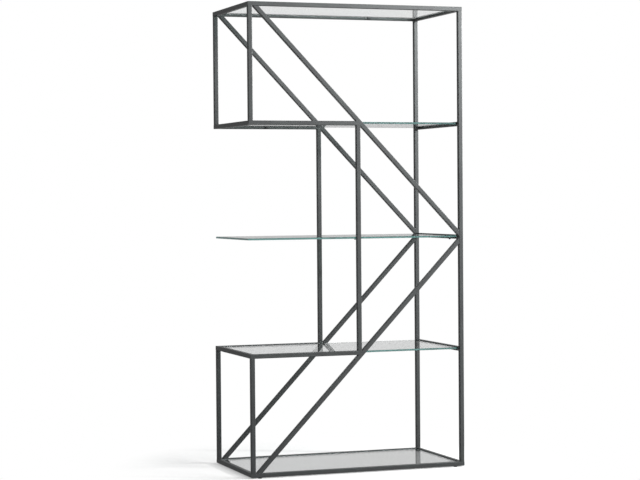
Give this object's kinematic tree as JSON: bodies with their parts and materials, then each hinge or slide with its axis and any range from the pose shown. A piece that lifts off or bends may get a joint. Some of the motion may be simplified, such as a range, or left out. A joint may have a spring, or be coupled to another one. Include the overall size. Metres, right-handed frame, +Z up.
{
  "type": "etagere",
  "caption": "Open shelving unit: a welded square-tube frame with long diagonal braces that carries five glass shelves, one of them cantilevered, on adjustable feet.",
  "frame": {"origin": "on the floor, at the centre of the frame's width and depth", "axes": "+Z up; -Y towards the front, the side that faces the viewer; +X towards the side with the full-height posts, which is the right as seen from the front"},
  "size_m": [0.991, 0.524, 2.036],
  "materials": {
    "frame_steel": "satin, hand-rubbed gunmetal",
    "shelf_glass": "clear, polished edges",
    "pad_rubber": "soft, black",
    "zinc_steel": "zinc plated",
    "black_zinc": "zinc plated, passivated black",
    "foot_plastic": "moulded, fine grain"
  },
  "bodies": {
    "frame": {"front_top_rail": "frame_steel", "back_top_rail": "frame_steel", "left_top_rail": "frame_steel", "right_top_rail": "frame_steel", "front_upper_rail": "frame_steel", "back_upper_rail": "frame_steel", "left_upper_rail": "frame_steel", "right_upper_rail": "frame_steel", "right_middle_rail": "frame_steel", "front_lower_rail": "frame_steel", "back_lower_rail": "frame_steel", "left_lower_rail": "frame_steel", "right_lower_rail": "frame_steel", "front_bottom_rail": "frame_steel", "back_bottom_rail": "frame_steel", "left_bottom_rail": "frame_steel", "right_bottom_rail": "frame_steel", "front_right_post": "frame_steel", "back_right_post": "frame_steel", "front_upper_left_post": "frame_steel", "back_upper_left_post": "frame_steel", "front_lower_left_post": "frame_steel", "back_lower_left_post": "frame_steel", "front_middle_post": "frame_steel", "back_middle_post": "frame_steel", "front_upper_brace": "frame_steel", "back_upper_brace": "frame_steel", "front_lower_brace": "frame_steel", "back_lower_brace": "frame_steel", "top_tabs": "frame_steel", "upper_tabs": "frame_steel", "middle_tabs": "frame_steel", "lower_tabs": "frame_steel", "bottom_tabs": "frame_steel", "top_pads": "pad_rubber", "upper_pads": "pad_rubber", "middle_pads": "pad_rubber", "lower_pads": "pad_rubber", "bottom_pads": "pad_rubber", "middle_cap_nuts": "black_zinc", "foot_nuts": "zinc_steel"},
    "top_shelf": {"top_glass": "shelf_glass"},
    "upper_shelf": {"upper_glass": "shelf_glass"},
    "middle_shelf": {"middle_glass": "shelf_glass", "middle_studs": "black_zinc"},
    "lower_shelf": {"lower_glass": "shelf_glass"},
    "bottom_shelf": {"bottom_glass": "shelf_glass"},
    "front_left_foot": {"front_left_foot_stem": "zinc_steel", "front_left_foot_base": "foot_plastic"},
    "front_right_foot": {"front_right_foot_stem": "zinc_steel", "front_right_foot_base": "foot_plastic"},
    "back_left_foot": {"back_left_foot_stem": "zinc_steel", "back_left_foot_base": "foot_plastic"},
    "back_right_foot": {"back_right_foot_stem": "zinc_steel", "back_right_foot_base": "foot_plastic"}
  },
  "joints": [
    {"name": "top_glass_lift", "type": "slide", "parent": "frame", "child": "top_shelf", "axis": [0, 0, 1], "range_m": [0, 0.06]},
    {"name": "upper_glass_lift", "type": "slide", "parent": "frame", "child": "upper_shelf", "axis": [0, 0, 1], "range_m": [0, 0.06]},
    {"name": "middle_glass_lift", "type": "slide", "parent": "frame", "child": "middle_shelf", "axis": [0, 0, 1], "range_m": [0, 0.06]},
    {"name": "lower_glass_lift", "type": "slide", "parent": "frame", "child": "lower_shelf", "axis": [0, 0, 1], "range_m": [0, 0.06]},
    {"name": "bottom_glass_lift", "type": "slide", "parent": "frame", "child": "bottom_shelf", "axis": [0, 0, 1], "range_m": [0, 0.06]},
    {"name": "front_left_foot_screw", "type": "slide", "parent": "frame", "child": "front_left_foot", "axis": [0, 0, -1], "range_m": [0, 0.008]},
    {"name": "front_right_foot_screw", "type": "slide", "parent": "frame", "child": "front_right_foot", "axis": [0, 0, -1], "range_m": [0, 0.008]},
    {"name": "back_left_foot_screw", "type": "slide", "parent": "frame", "child": "back_left_foot", "axis": [0, 0, -1], "range_m": [0, 0.008]},
    {"name": "back_right_foot_screw", "type": "slide", "parent": "frame", "child": "back_right_foot", "axis": [0, 0, -1], "range_m": [0, 0.008]}
  ]
}
